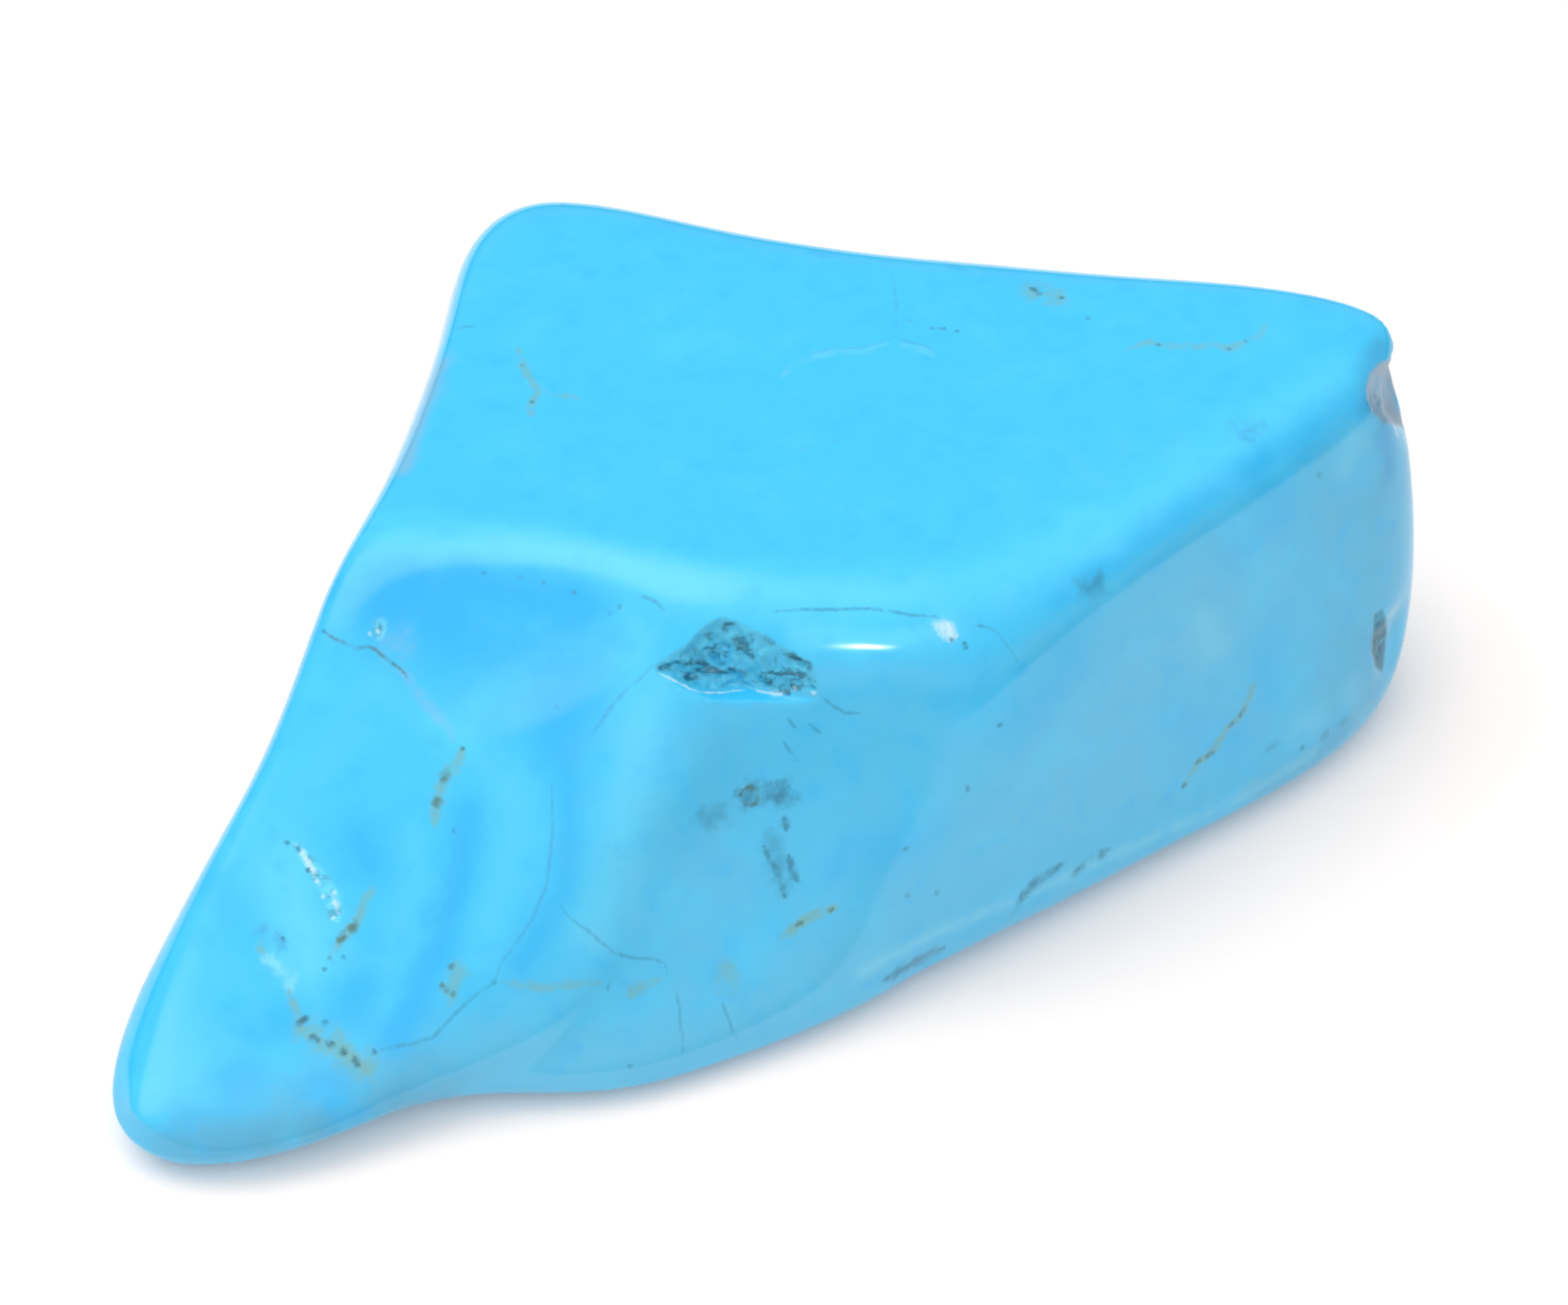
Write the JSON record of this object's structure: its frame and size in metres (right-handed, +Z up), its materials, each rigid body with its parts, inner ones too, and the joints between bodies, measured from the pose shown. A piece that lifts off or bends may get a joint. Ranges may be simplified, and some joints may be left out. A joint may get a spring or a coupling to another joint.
{
  "type": "tumbled turquoise nugget",
  "caption": "Polished nugget of blue turquoise: a wedge-shaped lump with a flat top, a slope down to a low rounded tip and a small broken ledge under the top's edge.",
  "frame": {"origin": "middle of the stone's outline seen from above, on the flat sole it rests on", "axes": "+X along the stone's length, from the low tip to the blunt end; +Y to its back corner; +Z up, out of its top face"},
  "size_m": [0.0374, 0.0232, 0.0103],
  "materials": {
    "turquoise": "polished"
  },
  "bodies": {
    "root": {"nugget": "turquoise"}
  },
  "joints": []
}
